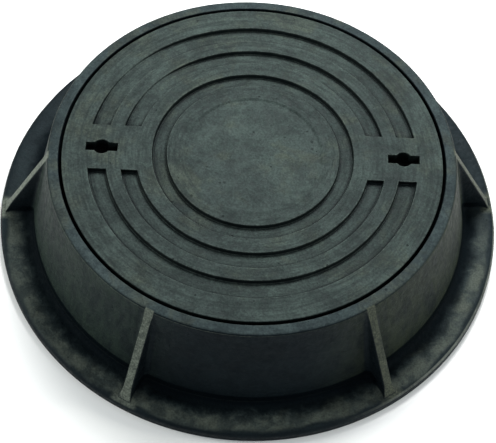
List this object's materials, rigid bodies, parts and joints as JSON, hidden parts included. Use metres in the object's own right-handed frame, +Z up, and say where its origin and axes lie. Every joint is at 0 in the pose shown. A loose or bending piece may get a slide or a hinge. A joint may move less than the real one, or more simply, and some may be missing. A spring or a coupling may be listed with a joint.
{
  "type": "manhole cover",
  "caption": "Round cast iron manhole cover: flanged conical frame with gussets and a loose ring-pattern lid with keyholes that lifts off.",
  "frame": {"origin": "centre of the base flange's underside", "axes": "+Z up out of the road along the cover's axis, +X through the centres of the two keyholes"},
  "size_m": [0.89, 0.89, 0.18],
  "materials": {
    "frame_iron": "rough as-cast iron under a thin dark coating, lighter on worn edges",
    "lid_iron": "rough as-cast iron, grey-green, rubbed on the raised pattern",
    "seat_rubber": "matt black rubber",
    "pan_plastic": "moulded black plastic, fine grain",
    "zinc_steel": "dull zinc plate"
  },
  "bodies": {
    "frame": {"frame": "frame_iron"},
    "seat_ring": {"seat_ring": "seat_rubber"},
    "lid": {"lid": "lid_iron", "keyway_pan_left": "pan_plastic", "keyway_pan_right": "pan_plastic", "pan_gasket_left": "seat_rubber", "pan_gasket_right": "seat_rubber", "pan_washers": "zinc_steel", "pan_screws": "zinc_steel"}
  },
  "joints": [
    {"name": "lid_turn", "type": "hinge", "parent": "frame", "child": "seat_ring", "pos_m": [0, 0, 0.127], "axis": [0, 0, 1], "continuous": true},
    {"name": "lid_lift", "type": "slide", "parent": "seat_ring", "child": "lid", "axis": [0, 0, 1], "range_m": [0, 0.25]}
  ]
}
